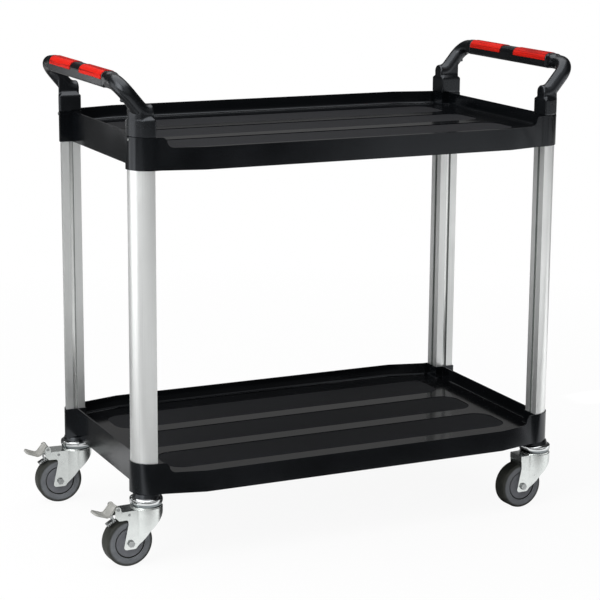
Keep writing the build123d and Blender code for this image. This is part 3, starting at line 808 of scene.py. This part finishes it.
def makeFork(corner):
    # Pressed sheet: the bends along the crown are rounded first, the cut edges only broken
    node = "castor_fork_" + corner
    bm = mergedCopy(node)
    level = [face for face in bm.faces if face.normal.z > fork["crownFacing"]]
    crown = max(level, key=lambda face: face.calc_area())
    bends = [
        edge for edge in crown.edges
        if min(face.normal.z for face in edge.link_faces) > fork["facingDown"]
        and edge.calc_face_angle_signed() > fork["bendAngle"]
    ]
    bevelEdges(bm, bends, fork["bend"], fork["bendSteps"])
    bevelEdges(bm, sharpEdges(bm), fork["edge"])
    finishPiece(node, bm, [zincSheet], "swivel_" + corner)


for corner in corners:
    makeTyre(corner)
    makeCore(corner)
    makeCap(corner)
    makeFork(corner)
    dressNode(
        "castor_axle_" + corner, fittings["nutEdge"], brightSteel, "swivel_" + corner)
for corner in brakedCorners:
    pedalBody, swivelBody = "pedal_" + corner, "swivel_" + corner
    dressNode("brake_pedal_" + corner, fittings["pedalEdge"], pedalPaint, pedalBody)
    dressNode("brake_shoe_" + corner, fittings["smallEdge"], brightSteel, pedalBody)
    dressNode("brake_pins_" + corner, fittings["smallEdge"], brightSteel, swivelBody)
dressNode("corner_screws", fittings["smallEdge"], brightSteel, "frame")

# The CAD nodes get a finish too, for those that stay in view
for node, piece in cadNodes.items():
    finish = bushNylon if node.startswith("hub_bush") else brightSteel
    piece.data.materials.clear()
    piece.data.materials.append(finish)
print("castors dressed")


# Floor

floorLook = {
    "half": 6.0,
    "sockets": {"Base Color": tone(250, 250, 250), "Roughness": 0.9, "Specular IOR Level": 0.1},
    "shadowShare": 0.07,
    "shadowReach": (1.0, 2.6),  # the plain share fades out between these distances
    # What metal mirrors of the floor: levels by distance along Y
    "mirrored": {
        -6.0: 0.02, -4.4: 0.02, -4.1: 0.48, -3.1: 0.54, -1.95: 0.64, -1.22: 0.95, -1.05: 0.01,
        -0.63: 0.01, -0.56: 1.0, -0.3: 1.0, -0.2: 0.75, 0.1: 0.7, 0.34: 0.6, 0.4: 0.9, 0.52: 0.9,
        0.58: 0.03, 1.5: 0.06, 1.7: 0.42, 3.4: 0.42, 3.8: 0.1,
    },
    "rightward": {"from": 0.9, "to": 1.7, "gain": 1.75},
    "shades": [
        {"middle": (0.15, 0.0, 0.0), "reach": (0.36, 0.32, 1.0), "level": 0.04},
        {"middle": (-1.22, 0.1, 0.0), "reach": (0.4, 0.55, 1.0), "level": 0.2},
    ],
    "shadeEdge": (0.88, 1.06),  # shares of a shade's reach
}


def seenAsBackground(tree, seen):
    # Camera rays, and rays by which gloss and glass show the background
    cameraOrGloss = mathNode(tree, "MAXIMUM", seen.outputs["Is Camera Ray"], seen.outputs["Is Glossy Ray"])
    return mathNode(tree, "MAXIMUM", cameraOrGloss, seen.outputs["Is Transmission Ray"])


def shadeBox(tree, point, level, shade):
    # Lowers the mirrored level inside a box on the floor
    offMiddle = vectorNode(tree, "SUBTRACT", point, shade["middle"])
    shareOut = vectorNode(tree, "DIVIDE", offMiddle.outputs["Vector"], shade["reach"])
    eitherSide = vectorNode(tree, "ABSOLUTE", shareOut.outputs["Vector"])
    sides = addNode(tree, "ShaderNodeSeparateXYZ")
    tree.links.new(eitherSide.outputs["Vector"], sides.inputs["Vector"])
    farther = mathNode(tree, "MAXIMUM", sides.outputs["X"], sides.outputs["Y"])
    clear = mapRange(tree, farther, *floorLook["shadeEdge"], shade["level"], 1.0)
    return mathNode(tree, "MULTIPLY", level, clear)


def mirroredLevel(tree, point):
    # Metal mirrors a floor of bright and dark bands, and the shade under the trolley
    half = floorLook["half"]
    along = addNode(tree, "ShaderNodeSeparateXYZ")
    tree.links.new(point, along.inputs["Vector"])
    bands = addNode(tree, "ShaderNodeValToRGB")
    stops = bands.color_ramp.elements
    stops.remove(stops[1])
    for place, level in floorLook["mirrored"].items():
        stop = stops.new((place + half) / (2 * half)) if place > -half else stops[0]
        stop.color = (level, level, level, 1.0)
    tree.links.new(mapRange(tree, along.outputs["Y"], -half, half, 0.0, 1.0), bands.inputs["Fac"])
    rightward = floorLook["rightward"]
    gain = mapRange(tree, along.outputs["X"], rightward["from"], rightward["to"], 1.0, rightward["gain"])
    level = mathNode(tree, "MULTIPLY", bands.outputs["Color"], gain)
    for shade in floorLook["shades"]:
        level = shadeBox(tree, point, level, shade)
    return level


def makeFloor():
    bm = bmesh.new()
    bmesh.ops.create_grid(bm, x_segments=1, y_segments=1, size=floorLook["half"])
    floor = addObject("floor", toMesh("floor", bm))
    material, tree, principled = startMaterial("paleFloor", floorLook["sockets"])
    white = addNode(tree, "ShaderNodeEmission")
    seen = addNode(tree, "ShaderNodeLightPath")
    point = objectPoint(tree)
    strength = mathNode(tree, "MAXIMUM", seen.outputs["Is Camera Ray"], mirroredLevel(tree, point))
    tree.links.new(strength, white.inputs["Strength"])
    # Close to the trolley part of the floor stays plain, so that the shadow shows
    reach = vectorNode(tree, "LENGTH", point).outputs["Value"]
    away = mapRange(tree, reach, *floorLook["shadowReach"], 1.0 - floorLook["shadowShare"], 1.0)
    mix = addNode(tree, "ShaderNodeMixShader")
    tree.links.new(mathNode(tree, "MULTIPLY", seenAsBackground(tree, seen), away), mix.inputs["Fac"])
    tree.links.new(principled.outputs["BSDF"], mix.inputs[1])
    tree.links.new(white.outputs["Emission"], mix.inputs[2])
    tree.links.new(mix.outputs["Shader"], tree.nodes["Material Output"].inputs["Surface"])
    floor.data.materials.append(material)


# Backdrop and light

room = {
    "ambient": 0.22,
    "glows": [
        {"towards": (-0.15, -0.75, 0.64), "from": 0.6, "to": 0.95, "darkest": 0.05, "brightest": 0.5},
        {"towards": (0.4, 0.83, 0.39), "from": 0.94, "to": 0.99, "darkest": 0.05, "brightest": 0.24},
    ],
}
softboxes = {
    "key": {"place": (-2.7, -1.5, 2.3), "aim": (0.0, 0.0, 0.6), "size": (2.2, 2.4), "watts": 56.0},
    "top": {"place": (-0.4, 0.2, 3.3), "aim": (-0.2, 0.0, 0.5), "size": (4.2, 3.6), "watts": 92.0},
    "fill": {"place": (1.75, -2.4, 0.45), "aim": (0.3, 0.0, 0.6), "size": (1.2, 0.8), "watts": 1.1},
    "side": {"place": (-2.0, 0.15, 0.74), "aim": (-0.45, -0.2, 0.62), "size": (1.3, 1.4), "watts": 6.6},
    "grip": {"place": (-1.05, 0.95, 0.84), "aim": (-0.5, -0.12, 0.98), "size": (0.36, 0.26), "watts": 0.45},
}


def makeBackdrop():
    world = bpy.data.worlds.new("studio")
    bpy.context.scene.world = world
    world.use_nodes = True
    tree = world.node_tree
    ambient = tree.nodes["Background"]
    ambient.inputs["Color"].default_value = (1, 1, 1, 1)
    ambient.inputs["Strength"].default_value = room["ambient"]
    backdrop = addNode(tree, "ShaderNodeBackground", None, {"Strength": 1.0})
    seen = addNode(tree, "ShaderNodeLightPath")
    # What gloss mirrors of the room is dark, but for the upper part in front and a faint glow behind
    direction = addNode(tree, "ShaderNodeTexCoord").outputs["Generated"]
    level = seen.outputs["Is Camera Ray"]
    for glow in room["glows"]:
        facing = vectorNode(tree, "DOT_PRODUCT", direction, glow["towards"]).outputs["Value"]
        lit = mapRange(tree, facing, glow["from"], glow["to"], glow["darkest"], glow["brightest"])
        level = mathNode(tree, "MAXIMUM", lit, level)
    tree.links.new(level, backdrop.inputs["Color"])
    mix = addNode(tree, "ShaderNodeMixShader")
    tree.links.new(seenAsBackground(tree, seen), mix.inputs["Fac"])
    tree.links.new(ambient.outputs["Background"], mix.inputs[1])
    tree.links.new(backdrop.outputs["Background"], mix.inputs[2])
    tree.links.new(mix.outputs["Shader"], tree.nodes["World Output"].inputs["Surface"])


def makeSoftbox(name, box):
    light = bpy.data.lights.new(name, "AREA")
    light.shape = "RECTANGLE"
    light.size, light.size_y = box["size"]
    light.energy = box["watts"]
    lamp = addObject(name, light)
    aim = Vector(box["aim"]) - Vector(box["place"])
    lamp.matrix_world = Matrix.Translation(box["place"]) @ aim.to_track_quat("-Z", "Y").to_matrix().to_4x4()


makeFloor()
makeBackdrop()
for name, box in softboxes.items():
    makeSoftbox(name, box)
print("studio set")


# Camera, fitted to the photograph

view = {
    "fromMiddle": (-1.786, -3.7835, 1.4044),
    "azimuth": 25.08, "down": 12.33, "roll": 0.41,  # degrees
    "lens": 117.23, "sensor": 36, "shiftY": -0.0223,
    "farthest": 60,
}


def makeCamera():
    data = bpy.data.cameras.new("camera")
    data.lens = view["lens"]
    data.sensor_width = view["sensor"]
    data.shift_y = view["shiftY"]
    data.clip_end = view["farthest"]
    camera = addObject("camera", data)
    turn = Matrix.Rotation(math.radians(-view["azimuth"]), 4, "Z")
    tilt = Matrix.Rotation(math.radians(90 - view["down"]), 4, "X")
    roll = Matrix.Rotation(math.radians(view["roll"]), 4, "Z")
    place = Vector(view["fromMiddle"]) + trayMiddle
    camera.matrix_world = Matrix.Translation(place) @ turn @ tilt @ roll
    bpy.context.scene.camera = camera


makeCamera()
bpy.context.scene.view_settings.view_transform = "Standard"
print("camera set")
